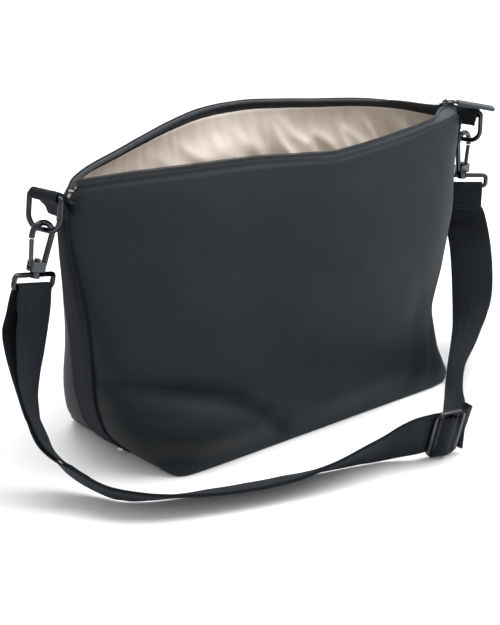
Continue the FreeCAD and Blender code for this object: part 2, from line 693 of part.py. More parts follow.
# Single length from the adjuster up to the right loop: centre, direction across, rise.
SINGLE_RUN = [(V(58, -170, 21.5), 306, 70), (V(81, -144, 21), 318, 68), (V(117, -112, 21), 320, 65),
              (V(157, -82, 26.5), 320, 50), (V(199, -52, 41), 320, 38), (V(223, -31, 60), 320, 24),
              (V(241, -10, 88), 320, 8), (V(243, 0, 112), 320, 2)]
# Crossing of the adjuster, right to left: behind the rims, over the middle bar.
THREADED = [(20, -2.75), (14.5, -2.75), (10.4, -2.6), (7.4, -0.2), (5.0, 3.2), (2.4, 5.1),
            (0, 5.35), (-2.4, 5.1), (-5.0, 3.2), (-7.4, -0.2), (-10.4, -2.6), (-14.5, -2.75),
            (-24, -2.3)]

webbing = [(right_bar - right_back * 1.15 - Z_AXIS * 24, right_across),
           (right_bar - right_back * 1.2 - Z_AXIS * 17, right_across),
           (right_bar - right_back * 1.9 - Z_AXIS * 10, right_across)]
webbing += around(right_bar, right_across, right_back, Z_AXIS, 180, 0)
webbing += [(right_bar + right_back * 1.9 - Z_AXIS * 10, right_across),
            (right_bar + right_back * 1.2 - Z_AXIS * 22, right_across)]
webbing += [(p, heading(az, rise)) for p, az, rise in reversed(SINGLE_RUN)]
webbing += [at_frame(along, out) for along, out in THREADED]
webbing += list(reversed(outer_layer))
webbing += around(left_bar, left_across, left_back, left_up, 0, 180)
cloth("strap_webbing", ribbon(webbing, size["strap_width"], size["strap_thick"]))

# Returning layer, ending in the loop sewn round the middle bar.
tail = [(-24, -4.5), (-14.5, -4.95), (-8, -4.9), (-3, -4.1)]
returning = [(left_bar - left_back * WRAP - left_up * drop, left_across) for drop in (1.0, 5.0)]
returning += inner_layer
returning += [at_frame(along, out) for along, out in tail]
for k in range(8):
    a = math.radians(-72 + 36 * k)
    returning.append(at_frame(3.3 * math.cos(a), 3.3 * math.sin(a)))
cloth("strap_return", ribbon(returning, size["strap_width"], size["strap_thick"]))

# ---------------------------------------------------------------- check and write
doc.recompute()
for obj in doc.Objects:
    if "Invalid" in obj.State or "Error" in obj.State:
        raise RuntimeError("object failed: " + obj.Name)

os.makedirs("parts", exist_ok=True)
for obj in nodes:
    shape = obj.Shape
    if shape.isNull() or not shape.isValid() or not shape.Solids:
        raise RuntimeError("bad shape: " + obj.Label)
    shape.exportStep("parts/%s.step" % obj.Label)
    box = shape.optimalBoundingBox(False)
    print("%-22s solids %d volume %9.1f  x %.1f..%.1f  y %.1f..%.1f  z %.1f..%.1f" % (
        obj.Label, len(shape.Solids), shape.Volume, box.XMin, box.XMax, box.YMin, box.YMax,
        box.ZMin, box.ZMax))
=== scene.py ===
"""Looks of a zip-top coated-fabric bag with a webbing shoulder strap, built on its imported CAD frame."""

import json
import math

import bpy
from mathutils import Matrix, Vector as V, noise


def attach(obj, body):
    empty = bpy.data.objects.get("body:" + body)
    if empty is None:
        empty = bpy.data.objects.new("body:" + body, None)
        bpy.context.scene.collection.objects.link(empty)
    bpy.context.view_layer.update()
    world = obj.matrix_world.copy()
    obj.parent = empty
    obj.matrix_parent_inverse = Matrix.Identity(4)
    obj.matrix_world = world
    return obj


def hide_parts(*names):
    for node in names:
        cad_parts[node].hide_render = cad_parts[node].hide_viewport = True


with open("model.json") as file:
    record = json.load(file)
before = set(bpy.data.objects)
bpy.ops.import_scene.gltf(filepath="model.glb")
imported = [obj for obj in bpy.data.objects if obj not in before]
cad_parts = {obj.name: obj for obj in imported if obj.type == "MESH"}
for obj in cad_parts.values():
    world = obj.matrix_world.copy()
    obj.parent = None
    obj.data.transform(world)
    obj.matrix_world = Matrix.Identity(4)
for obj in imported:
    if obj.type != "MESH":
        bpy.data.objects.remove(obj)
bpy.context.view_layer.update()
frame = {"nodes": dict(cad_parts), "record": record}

MM = 0.001
X_AXIS = V((1, 0, 0))
Y_AXIS = V((0, 1, 0))
Z_AXIS = V((0, 0, 1))


# ---------------------------------------------------------------- materials
class Paint:
    """A material with one Principled shader, and short calls that add and link nodes."""

    def __init__(self, name, rough, metal=0.0, **sockets):
        self.mat = bpy.data.materials.new(name)
        self.mat.use_nodes = True
        self.tree = self.mat.node_tree
        self.shader = self.tree.nodes["Principled BSDF"]
        self.shader.inputs["Roughness"].default_value = rough
        self.shader.inputs["Metallic"].default_value = metal
        for key, value in sockets.items():
            self.shader.inputs[key.replace("_", " ")].default_value = value

    def add(self, kind, links=(), **values):
        """New node; links are (input name or index, output socket), values set its properties."""
        node = self.tree.nodes.new("ShaderNode" + kind)
        for key, value in values.items():
            setattr(node, key, value)
        for key, source in links:
            if isinstance(source, bpy.types.NodeSocket):
                self.tree.links.new(source, node.inputs[key])
            else:
                node.inputs[key].default_value = source
        return node

    def math(self, operation, a, b=0.0, c=0.0):
        return self.add("Math", [(0, a), (1, b), (2, c)], operation=operation).outputs[0]

    def noise(self, where, scale, detail=3.0, rough=0.55):
        node = self.add("TexNoise", [("Vector", where), ("Scale", scale), ("Detail", detail),
                                     ("Roughness", rough)])
        return node.outputs["Fac"]

    def wave(self, value, pitch, phase=0.0):
        """Sine of a coordinate in metres, 0 to 1, one cycle per pitch."""
        turned = self.math("MULTIPLY_ADD", value, 2 * math.pi / pitch, phase)
        return self.math("MULTIPLY_ADD", self.math("SINE", turned), 0.5, 0.5)

    def ramp(self, value, stops):
        """Colours by value; stops are (position, sRGB colour)."""
        node = self.add("ValToRGB", [("Fac", value)])
        spots = node.color_ramp.elements
        while len(spots) < len(stops):
            spots.new(0.5)
        for spot, (position, colour) in zip(spots, stops):
            spot.position = position
            spot.color = linear(colour)
        return node.outputs["Color"]

    def blend(self, factor, a, b):
        node = self.add("Mix", data_type="RGBA", blend_type="MIX")
        for index, source in ((0, factor), (6, a), (7, b)):
            if isinstance(source, bpy.types.NodeSocket):
                self.tree.links.new(source, node.inputs[index])
            else:
                node.inputs[index].default_value = source
        return node.outputs[2]

    def spots(self, value, low, high):
        """Value clipped and stretched so that low gives 0 and high gives 1."""
        node = self.add("MapRange", [("Value", value), ("From Min", low), ("From Max", high)])
        return node.outputs[0]

    def bump(self, height, depth, strength=1.0, under=None):
        links = [("Height", height), ("Distance", depth), ("Strength", strength)]
        if under is not None:
            links.append(("Normal", under))
        return self.add("Bump", links).outputs["Normal"]

    def colour(self, source):
        self.tree.links.new(source, self.shader.inputs["Base Color"])

    def roughness(self, source):
        self.tree.links.new(source, self.shader.inputs["Roughness"])

    def normal(self, source):
        self.tree.links.new(source, self.shader.inputs["Normal"])


def linear(colour):
    """sRGB numbers from 0 to 255 to the linear colour that the shader takes."""
    out = []
    for c in colour:
        c /= 255.0
        out.append(c / 12.92 if c <= 0.04045 else ((c + 0.055) / 1.055) ** 2.4)
    return (*out, 1.0)


def coated_fabric():
    """Matte coated cloth: a very fine grain, slow changes of tone and a soft sheen."""
    p = Paint("coated_fabric", 0.6, Sheen_Weight=0.05, Sheen_Roughness=0.45)
    p.shader.inputs["Sheen Tint"].default_value = linear((150, 165, 175))
    p.shader.inputs["Specular IOR Level"].default_value = 0.16
    at = p.add("TexCoord").outputs["Object"]
    slow = p.noise(at, 9.0, 2.0)
    fine = p.noise(at, 900.0, 2.0)
    uv = p.add("SeparateXYZ", [(0, p.add("UVMap").outputs[0])])
    weave = p.math("MULTIPLY", p.wave(uv.outputs[0], 0.0009), p.wave(uv.outputs[1], 0.0009))
    base = p.ramp(slow, [(0.3, (20, 24, 27)), (0.7, (27, 32, 36))])
    p.colour(p.blend(p.spots(fine, 0.35, 0.75), base, p.blend(0.25, base, linear((44, 49, 53)))))
    p.roughness(p.math("MULTIPLY_ADD", fine, 0.14, 0.52))
    grain = p.bump(p.math("MULTIPLY_ADD", weave, 0.5, fine), 0.00008, 0.5)
    p.normal(p.bump(p.noise(at, 60.0, 3.0), 0.0006, 0.25, grain))
    return p.mat


def satin():
    """Lining: pale satin with long threads one way and tiny crinkles."""
    p = Paint("lining_satin", 0.42, Sheen_Weight=0.35, Sheen_Roughness=0.3, Anisotropic=0.5)
    p.shader.inputs["Sheen Tint"].default_value = linear((255, 240, 226))
    at = p.add("TexCoord").outputs["Object"]
    uv = p.add("SeparateXYZ", [(0, p.add("UVMap").outputs[0])])
    thread = p.wave(uv.outputs[0], 0.0006)
    slub = p.noise(p.add("Mapping", [(0, at), ("Scale", V((1, 1, 0.15)))]).outputs[0], 260.0, 2.0)
    crinkle = p.noise(at, 85.0, 3.0)
    base = p.ramp(slub, [(0.25, (198, 186, 175)), (0.75, (205, 194, 183))])
    p.colour(p.blend(p.math("MULTIPLY", thread, 0.25), base, linear((211, 200, 190))))
    threads = p.bump(p.math("MULTIPLY_ADD", thread, 0.5, slub), 0.00006, 0.5)
    p.normal(p.bump(crinkle, 0.0009, 0.35, threads))
    return p.mat


def webbing(name, dark, light, pitch, herringbone):
    """Woven strap: twill ribs that turn back across the width, and loose lint."""
    p = Paint(name, 0.78, Sheen_Weight=0.18, Sheen_Roughness=0.5)
    p.shader.inputs["Sheen Tint"].default_value = linear((120, 130, 142))
    p.shader.inputs["Specular IOR Level"].default_value = 0.12
    at = p.add("TexCoord").outputs["Object"]
    uv = p.add("SeparateXYZ", [(0, p.add("UVMap").outputs[0])])
    along, across = uv.outputs[0], uv.outputs[1]
    folded = p.math("PINGPONG", across, herringbone)
    rib = p.wave(p.math("ADD", along, folded), pitch)
    yarn = p.math("MULTIPLY", p.wave(across, pitch * 0.7), p.wave(along, pitch * 0.5))
    fuzz = p.noise(at, 1500.0, 2.0, 0.7)
    height = p.math("MULTIPLY_ADD", yarn, 0.5, p.math("MULTIPLY_ADD", fuzz, 0.5, rib))
    tone = p.math("MULTIPLY_ADD", p.noise(at, 35.0), 0.5, p.math("MULTIPLY", height, 0.35))
    p.colour(p.ramp(tone, [(0.3, dark), (0.72, light)]))
    p.normal(p.bump(height, 0.00028, 0.8))
    return p.mat


def ribbed_tape():
    """Zip tape: a fine knitted rib along the tape."""
    p = Paint("zip_tape", 0.8, Sheen_Weight=0.2)
    uv = p.add("SeparateXYZ", [(0, p.add("UVMap").outputs[0])])
    at = p.add("TexCoord").outputs["Object"]
    rib = p.wave(uv.outputs[1], 0.0011)
    stitch = p.wave(uv.outputs[0], 0.0008)
    height = p.math("MULTIPLY_ADD", stitch, 0.4, rib)
    tone = p.math("MULTIPLY_ADD", p.noise(at, 200.0), 0.6, p.math("MULTIPLY", height, 0.3))
    p.colour(p.ramp(tone, [(0.25, (19, 22, 26)), (0.8, (44, 49, 55))]))
    p.normal(p.bump(height, 0.0002, 0.8))
    return p.mat


def plastic(name, dark, light, rough):
    """Moulded coil teeth or thread with a slight gloss."""
    p = Paint(name, rough)
    at = p.add("TexCoord").outputs["Object"]
    fine = p.noise(at, 700.0)
    p.colour(p.ramp(fine, [(0.3, dark), (0.7, light)]))
    p.roughness(p.math("MULTIPLY_ADD", fine, 0.2, rough - 0.1))
    p.normal(p.bump(fine, 0.00005, 0.5))
    return p.mat


def thread():
    """Sewing thread: two plies twisted together."""
    p = Paint("thread", 0.75, Sheen_Weight=0.1)
    at = p.add("TexCoord").outputs["Object"]
    wave = p.add("TexWave", [("Vector", at), ("Scale", 900.0), ("Distortion", 1.5)],
                 bands_direction="DIAGONAL").outputs["Fac"]
    p.colour(p.ramp(wave, [(0.2, (12, 14, 17)), (0.8, (36, 40, 46))]))
    p.normal(p.bump(wave, 0.00012, 0.8))
    return p.mat


def plating(name, dark, light, rough):
    """Polished plating: faint scratches, finger haze and paler worn edges."""
    wear = 0.25
    p = Paint(name, rough, 1.0, Coat_Weight=0.3, Coat_Roughness=0.06)
    at = p.add("TexCoord").outputs["Object"]
    haze = p.noise(at, 120.0, 4.0)
    streak = p.noise(p.add("Mapping", [(0, at), ("Scale", V((1, 1, 9)))]).outputs[0], 500.0)
    edge = p.spots(p.add("NewGeometry").outputs["Pointiness"], 0.5, 0.62)
    base = p.ramp(haze, [(0.3, dark), (0.72, light)])
    worn = tuple(min(255, c * 1.5) for c in light)
    p.colour(p.blend(p.math("MULTIPLY", edge, wear), base, linear(worn)))
    p.roughness(p.math("MULTIPLY_ADD", streak, 0.12, p.math("MULTIPLY_ADD", haze, 0.16, rough - 0.1)))
    p.normal(p.bump(streak, 0.00002, 0.4))
    return p.mat


def leather():
    """Fine-grained leather: small cells, soft pores and burnished edges."""
    p = Paint("pull_leather", 0.5, Coat_Weight=0.08, Coat_Roughness=0.4)
    at = p.add("TexCoord").outputs["Object"]
    cells = p.add("TexVoronoi", [("Vector", at), ("Scale", 1100.0)],
                  feature="DISTANCE_TO_EDGE").outputs["Distance"]
    slow = p.noise(at, 130.0, 3.0)
    edge = p.spots(p.add("NewGeometry").outputs["Pointiness"], 0.5, 0.6)
    base = p.ramp(slow, [(0.3, (48, 54, 61)), (0.75, (62, 69, 77))])
    p.colour(p.blend(p.math("MULTIPLY", edge, 0.5), base, linear((28, 32, 37))))
    p.roughness(p.math("MULTIPLY_ADD", slow, 0.25, 0.38))
    pores = p.bump(p.spots(cells, 0.0, 0.12), 0.00008, 0.6)
    p.normal(p.bump(slow, 0.0002, 0.3, pores))
    return p.mat


COATED = coated_fabric()
SATIN = satin()
STRIP = webbing("side_webbing", (9, 11, 13), (25, 28, 32), 0.0013, 0.0065)
TWILL = webbing("strap_twill", (10, 12, 14), (27, 31, 36), 0.0016, 0.0048)
TAPE = ribbed_tape()
COIL = plastic("zip_coil", (34, 39, 44), (60, 67, 74), 0.38)
EDGING = plastic("seam_binding", (20, 23, 27), (40, 45, 51), 0.7)
THREAD = thread()
GUNMETAL = plating("gunmetal", (38, 40, 43), (60, 62, 66), 0.2)
BRIGHT = plating("bright_metal", (170, 170, 172), (205, 205, 206), 0.22)
LEATHER = leather()


# ---------------------------------------------------------------- mesh helpers
def finish_piece(obj, material, nodes=(), body="bag"):
    """Material, smooth shading, the body it rides on, and hiding the CAD nodes it stands for."""
    obj.data.materials.clear()
    obj.data.materials.append(material)
    obj.data.shade_smooth()
    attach(obj, body)
    if nodes:
        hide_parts(*nodes)


def mesh_object(name, points, faces, uvs=None):
    """Mesh from points in mm; uvs, in metres, has one pair for each point."""
    mesh = bpy.data.meshes.new(name)
    mesh.from_pydata([p * MM for p in points], [], faces)
    if uvs:
        layer = mesh.uv_layers.new(name="UVMap")
        for loop in mesh.loops:
            layer.data[loop.index].uv = uvs[loop.vertex_index]
    mesh.update()
    obj = bpy.data.objects.new(name, mesh)
    bpy.context.scene.collection.objects.link(obj)
    return obj


def grid(name, rows, closed=False):
    """Sheet through rows of points; U runs along the first row and V up the rows, in metres."""
    count = len(rows[0])
    points = [p for row in rows for p in row]
    faces = []
    for i in range(len(rows) - 1):
        for j in range(count if closed else count - 1):
            k = (j + 1) % count
            faces.append((i * count + j, i * count + k, (i + 1) * count + k, (i + 1) * count + j))
    middle = rows[len(rows) // 2]
    run = [0.0]
    for a, b in zip(middle, middle[1:]):
        run.append(run[-1] + (b - a).length * MM)
    climb = [0.0]
    for a, b in zip(rows, rows[1:]):
        climb.append(climb[-1] + (b[count // 2] - a[count // 2]).length * MM)
    uvs = [(run[j], climb[i]) for i in range(len(rows)) for j in range(count)]
    return mesh_object(name, points, faces, uvs)


def thicken(obj, thickness):
    """Give a sheet its real thickness, in mm, half to each side."""
    solid = obj.modifiers.new("Thickness", "SOLIDIFY")
    solid.thickness = thickness * MM
    solid.offset = 0.0
    return obj


def soften(obj, width, segments):
    """Round the sharp edges of a piece to a width in mm."""
    bevel = obj.modifiers.new("Edges", "BEVEL")
    bevel.width = width * MM
    bevel.segments = segments
    bevel.limit_method = "ANGLE"
    bevel.angle_limit = math.radians(35)
    bevel.harden_normals = False


def tube(name, path, radius, sides):
    """Round tube through points in mm, with flat ends."""
    points, faces = [], []
    last = len(path) - 1
    side = None
    for k, p in enumerate(path):
        run = (path[min(k + 1, last)] - path[max(k - 1, 0)]).normalized()
        if side is None:
            side = run.orthogonal().normalized()
        side = (side - run * side.dot(run)).normalized()
        up = run.cross(side)
        for n in range(sides):
            a = 2 * math.pi * n / sides
            points.append(p + (side * math.cos(a) + up * math.sin(a)) * radius)
    for k in range(last):
        for n in range(sides):
            m = (n + 1) % sides
            faces.append((k * sides + n, k * sides + m, (k + 1) * sides + m, (k + 1) * sides + n))
    faces.append(tuple(range(sides - 1, -1, -1)))
    faces.append(tuple(last * sides + n for n in range(sides)))
    return mesh_object(name, points, faces)


def stitches(name, line, normals, pitch, length, radius):
    """A row of separate sewn stitches; each one dips into the cloth at both ends."""
    points, faces = [], []
    sides, bends = 6, 6
    marks = []
    left = pitch / 2
    for k, (a, b) in enumerate(zip(line, line[1:])):
        span = (b - a).length
        if span < 1e-9:
            continue
        way = (b - a) / span
        while left <= span:
            marks.append((a + way * left, way, normals[k]))
            left += pitch
        left -= span
    for centre, way, out in marks:
        out = (out - way * out.dot(way)).normalized()
        side = way.cross(out)
        start = len(points)
        for n in range(bends + 1):
            w = n / bends * 2 - 1
            at = centre + way * (w * length / 2) + out * (radius * (0.35 - 1.1 * w * w))
            thick = radius * (1 - 0.45 * w * w)
            for m in range(sides):
                a = 2 * math.pi * m / sides
                points.append(at + (side * math.cos(a) + out * math.sin(a)) * thick)
        for n in range(bends):
            for m in range(sides):
                o = (m + 1) % sides
                faces.append((start + n * sides + m, start + n * sides + o,
                              start + (n + 1) * sides + o, start + (n + 1) * sides + m))
    finish_piece(mesh_object(name, points, faces), THREAD)


def smooth(value):
    """Soft step from 0 to 1 as the value goes from 0 to 1."""
    value = min(max(value, 0.0), 1.0)
    return value * value * (3 - 2 * value)


def eased(value, stops):
    """Smooth reading of a short list of (position, value...) stops, which never overshoots."""
    if value <= stops[0][0]:
        return stops[0][1:]
    if value >= stops[-1][0]:
        return stops[-1][1:]
    k = next(i for i in range(len(stops) - 1) if value <= stops[i + 1][0])
    a, b = stops[k], stops[k + 1]
    span = b[0] - a[0]
    w = (value - a[0]) / span
    out = []
    for n in range(1, len(a)):
        rise = (b[n] - a[n]) / span
        slopes = []
        for i in (k, k + 1):
            if 0 < i < len(stops) - 1:
                s0 = (stops[i][n] - stops[i - 1][n]) / (stops[i][0] - stops[i - 1][0])
                s1 = (stops[i + 1][n] - stops[i][n]) / (stops[i + 1][0] - stops[i][0])
                slopes.append(0.0 if s0 * s1 <= 0 else 2 * s0 * s1 / (s0 + s1))
            else:
                slopes.append(rise)
        out.append(a[n] * (2 * w ** 3 - 3 * w ** 2 + 1) + slopes[0] * span * (w ** 3 - 2 * w ** 2 + w)
                   + b[n] * (3 * w ** 2 - 2 * w ** 3) + slopes[1] * span * (w ** 3 - w ** 2))
    return tuple(out)


def normals_of(rows):
    """Unit normal at every point of a sheet given as rows."""
    out = []
    last_i, last_j = len(rows) - 1, len(rows[0]) - 1
    for i, row in enumerate(rows):
        line = []
        for j in range(len(row)):
            along = row[min(j + 1, last_j)] - row[max(j - 1, 0)]
            up = rows[min(i + 1, last_i)][j] - rows[max(i - 1, 0)][j]
            line.append(along.cross(up).normalized())
        out.append(line)
    return out


# ---------------------------------------------------------------- bag
HEIGHT = 219.0
SHELL_THICK, LINING_THICK, BASE_THICK = 1.1, 0.35, 1.3
# Section of the bag at each height, in mm: left end, right end, front and back depth, squareness.
SECTIONS = [
    (0.0, -149.0, 149.0, 75.0, 75.0, 20.0), (12.0, -163.5, 161.0, 77.0, 76.0, 7.0),
    (30.0, -176.5, 161.5, 80.0, 78.0, 4.2), (60.0, -184.5, 163.0, 82.0, 78.0, 3.1),
    (100.0, -187.0, 185.5, 78.0, 77.0, 2.6), (140.0, -192.5, 206.5, 70.0, 78.0, 2.2),
    (180.0, -198.0, 217.5, 60.0, 80.0, 1.9), (205.0, -200.0, 226.0, 53.5, 83.0, 1.6),
    (HEIGHT, -193.0, 229.0, 50.0, 85.0, 1.4),
]
# Height of the mouth's edge over X.
FRONT_EDGE = [(-193, 222), (-186, 225.5), (-170, 227), (-145, 228), (-60, 227), (0, 222), (40, 217.5),
              (140, 217), (212, 217), (229, 213)]
BACK_EDGE = [(-193, 222), (-178, 227), (-150, 228.5), (-120, 229.2), (-80, 232.5), (-40, 237),
             (0, 240), (40, 240), (80, 237), (110, 234), (150, 231), (180, 226.5), (212, 218),
             (229, 213)]
# Half of the gap between the panels at each side seam, and the height where the panels start.
SEAM_GAP, FOOT = 2.2, 1.6
# Steps of the fine line that a section is measured along.
SECTION_STEPS = 240


def cut_height(level, x, front):
    """Height of a level once the mouth edge, which is not level, has drawn it up or down."""
    edge = eased(x, FRONT_EDGE if front else BACK_EDGE)[0]
    return level + (edge - HEIGHT) * (level / HEIGHT) ** 3


def section_row(level, front, count, inset=0.0):
    """Evenly spaced points along one side of the bag at one level, left to right."""
    left, right, depth_f, depth_b, power = eased(level, SECTIONS)
    depth = (depth_f if front else depth_b) - inset
    half = (right - left) / 2 - inset
    middle = (left + right) / 2
    first = math.asin((SEAM_GAP / depth) ** (power / 2))
    dense = []
    for k in range(SECTION_STEPS + 1):
        t = math.pi - first - (math.pi - 2 * first) * k / SECTION_STEPS
        c = math.cos(t)
        x = middle + half * math.copysign(abs(c) ** (2 / power), c)
        y = depth * math.sin(t) ** (2 / power) * (-1 if front else 1)
        dense.append(V((x, y, cut_height(level, x, front))))
    run = [0.0]
    for a, b in zip(dense, dense[1:]):
        run.append(run[-1] + (b - a).length)
    row = []
    k = 0
    for j in range(count):
        target = run[-1] * j / (count - 1)
        while k < len(dense) - 2 and run[k + 1] < target:
            k += 1
        row.append(dense[k].lerp(dense[k + 1], (target - run[k]) / (run[k + 1] - run[k])))
    return row


def swell(x, z, centre, reach, turn=0.0):
    """Soft bump of height 1 at a centre in X and Z, with its reach each way."""
    dx, dz = x - centre[0], z - centre[1]
    c, s = math.cos(math.radians(turn)), math.sin(math.radians(turn))
    u, v = (dx * c + dz * s) / reach[0], (-dx * s + dz * c) / reach[1]
    return math.exp(-(u * u + v * v))


# Soft dents (-) and bulges (+) of the two panels: centre X and Z, reach, turn, depth in mm.
FRONT_FORM = [
    ((-166, 72), (32, 8), -8, -4.5), ((-126, 62), (34, 8.5), -14, -7.5),
    ((-86, 47), (28, 8.5), -30, -7.5), ((-60, 29), (20, 8), -50, -6.0),
    ((-47, 9), (17, 7), -82, -3.5), ((-122, 32), (44, 15), -11, 6.5),
    ((-152, 10), (13, 18), 30, -3.0), ((20, 96), (90, 46), 0, 2.2),
    ((110, 130), (46, 34), 20, -1.8), ((-60, 165), (70, 26), 4, -1.6),
    ((60, 186), (60, 16), -8, 1.6), ((40, 28), (60, 14), 5, 1.4),
    ((118, 46), (9, 34), -12, 2.6), ((104, 50), (10, 40), -12, -2.0),
]
BACK_FORM = [
    ((100, 70), (60, 14), 12, -3.0), ((90, 36), (50, 16), 8, 2.6), ((-60, 80), (70, 30), -6, -2.0),
    ((-110, 150), (40, 40), 0, 1.8), ((30, 150), (60, 30), 10, -1.6), ((150, 150), (30, 30), 0, 1.4),
]


def formed(rows, forms, front):
    """Panel rows pushed along their normals by the soft dents and small uneven waves."""
    outs = normals_of(rows)
    sign = 1 if front else -1
    top = len(rows) - 1
    shaped = []
    for i, row in enumerate(rows):
        line = []
        for j, p in enumerate(row):
            side = min(j, len(row) - 1 - j) / (len(row) - 1)
            calm = smooth(side / 0.08) * smooth(p.z / 18) * smooth((top - i) / 10)
            push = sum(d * swell(p.x, p.z, c, r, t) for c, r, t, d in forms)
            push += 1.1 * noise.noise(V((p.x / 70, p.z / 52, 3.0 + sign)))
            push += 0.35 * noise.noise(V((p.x / 24, p.z / 19, 9.0 + sign)))
            line.append(p + outs[i][j] * (push * calm * sign))
        shaped.append(line)
    return shaped


def shell_rows(front, rows=76, count=150):
    """Panel from its hem, tucked in under the base, up to the mouth; levels lie closer low down."""
    levels = [HEIGHT * (k / (rows - 1)) ** 1.3 for k in range(rows)]
    out = [section_row(max(z, FOOT), front, count) for z in levels]
    for p in out[0]:
        p.z = FOOT
    base_half, base_depth = SECTIONS[0][2], SECTIONS[0][3]
    tuck = []
    for inset, z in ((4.0, 0.5), (1.2, 0.55), (0.3, 0.9)):
        tuck.append([V((p.x * (1 - inset / base_half), p.y * (1 - inset / base_depth), z))
                     for p in out[0]])
    return tuck + formed(out, FRONT_FORM if front else BACK_FORM, front)


for front in (True, False):
    word = "front" if front else "back"
    obj = thicken(grid(word + "_shell", shell_rows(front)), SHELL_THICK)
    finish_piece(obj, COATED, [word + "_panel"])


LINING_FOOT, LINING_RISE, LINING_INSET = 6.5, HEIGHT - 12.1, 2.6


def lining_rows(front, rows=90, count=260):
    """Lining hung from the zip hem: gathered at the seam, with wide folds lower down."""
    sign = -1 if front else 1
    levels = [LINING_FOOT + LINING_RISE * k / (rows - 1) for k in range(rows)]
    flat = [section_row(z, front, count, LINING_INSET) for z in levels]
    outs = normals_of(flat)
    out = []
    for i, row in enumerate(flat):
        up = i / (rows - 1)
        hang = smooth((1 - up) / 0.16) * smooth(up / 0.18)
        pucker = smooth((up - 0.88) / 0.06) * (1 - 0.75 * smooth((up - 0.965) / 0.03))
        line = []
        for j, p in enumerate(row):
            u = j / (count - 1)
            ends = smooth(u / 0.06) * smooth((1 - u) / 0.06)
            lively = 0.35 + 0.65 * smooth((p.x + 70) / 90)
            slant = p.x - 60 * (1 - up)
            soft = noise.noise(V((slant / 40, up * 2.6, 12.0 + sign)))
            ridge = 1 - abs(noise.noise(V((slant / 30 + up * 2.0, up * 4.5, 21.0 + sign)))) * 3.2
            small = noise.noise(V((slant / 13, up * 10, 30.0 + sign)))
            tight = math.sin(p.x / 2.3 + 3.0 * noise.noise(V((p.x / 20, up * 5, 7.0))))
            push = hang * lively * (7.0 * soft + 7.0 * ridge + 1.8 * small)
            push += pucker * (0.45 * tight + 0.5 * small)
            inward = 4.0 * hang + 1.4 + push
            if front:
                inward += 8.0 * smooth((90 - p.z) / 40) * smooth((p.z - 6) / 20)
            line.append(p + V((0, -sign * max(inward, 0.6) * ends, 0)))
        out.append(line)
    return out


for front in (True, False):
    word = "front" if front else "back"
    obj = thicken(grid(word + "_lining_cloth", lining_rows(front)), LINING_THICK)
    finish_piece(obj, SATIN, [word + "_lining"])


def flat_disc(name, half_x, half_y, power, z, rings=12, around=96, lift=0.0):
    """Flat rounded rectangle of cloth, slightly uneven."""
    rows = []
    for i in range(rings + 1):
        w = i / rings
        row = []
        for k in range(around):
            t = 2 * math.pi * k / around
            c, s = math.cos(t), math.sin(t)
            x = w * half_x * math.copysign(abs(c) ** (2 / power), c)
            y = w * half_y * math.copysign(abs(s) ** (2 / power), s)
            bump = lift * (0.5 + noise.noise(V((x / 40, y / 40, 2.0)))) * (1 - w ** 4)
            row.append(V((x, y, z + bump)))
        rows.append(row)
    return grid(name, rows, closed=True)


base_cloth = thicken(flat_disc("base_cloth", 147.2, 73.2, 8.0, 0.75), BASE_THICK)
finish_piece(base_cloth, COATED, ["base_panel"])
base_inside = thicken(flat_disc("base_lining_cloth", 143.5, 69.5, 7.0, 2.2, lift=1.2), LINING_THICK)
finish_piece(base_inside, SATIN, ["base_lining"])

# Woven strip over each side seam, narrower towards the mouth, with stitching near each edge.
STRIP_HALF, STRIP_THICK = 14.5, 1.5
STRIP_FOOT, STRIP_HEAD, STRIP_ROWS = 2.2, 216.5, 75
# Columns of points on each side of the strip's middle, and those that carry the stitching.
STRIP_SIDE, SEAM_COLUMN = 10, 8
STRIP_DRAPE, STRIP_NARROWING, NARROW_FROM, NARROW_OVER = 0.96, 0.62, 120, 92
strip_top = {}
for left_side in (True, False):
    out_x = -1 if left_side else 1
    word = "left" if left_side else "right"
    rows = []
    for step in range(STRIP_ROWS):
        level = STRIP_FOOT + (STRIP_HEAD - STRIP_FOOT) * step / (STRIP_ROWS - 1)
        width = STRIP_DRAPE * (1 - STRIP_NARROWING * smooth((level - NARROW_FROM) / NARROW_OVER))
        left, right, depth_f, depth_b, power = eased(level, SECTIONS)
        row = []
        for k in range(-STRIP_SIDE, STRIP_SIDE + 1):
            y = STRIP_HALF * width * k / STRIP_SIDE
            depth = depth_f if y < 0 else depth_b
            reach = (right - left) / 2 * (1 - (abs(y) / depth) ** power) ** (1 / power)
            slope = -(right - left) / 2 * (abs(y) / depth) ** (power - 1) / depth
            slope *= (1 - (abs(y) / depth) ** power) ** (1 / power - 1)
            slope *= math.copysign(1, y)
            x = (left + right) / 2 + out_x * reach
            away = V((out_x, -slope, 0)).normalized()
            z = cut_height(level, x, y < 0)
            proud = 1.5 + 0.25 * math.sin(level / 17.0 + y / 9)
            row.append(V((x, y, z)) + away * proud)
        rows.append(row)
    strip_top[word] = rows[-1][STRIP_SIDE]
    order = rows if not left_side else [r[::-1] for r in rows]
    sheet = grid("strip_" + word, order)
    for uv in sheet.data.uv_layers[0].data:
        uv.uv = (uv.uv[1], uv.uv[0])
    thicken(sheet, STRIP_THICK)
    finish_piece(sheet, STRIP, ["side_strip_" + word])
    outs = normals_of(order)
    for edge_name, column in (("front", -SEAM_COLUMN), ("back", SEAM_COLUMN)):
        j = STRIP_SIDE + (column if not left_side else -column)
        line = [row[j] + n[j] * 0.95 for row, n in zip(order, outs)]
        stitches("stitch_strip_%s_%s" % (word, edge_name), line, [n[j] for n in outs], 3.2, 2.3, 0.26)

# ---------------------------------------------------------------- zip
# Middle line of the closed zip, and the two ends of the tapes.
ZIP_Y, ZIP_Z = 3.0, 223.5
ZIP_LEFT, ZIP_RIGHT = -187.5, 223.5
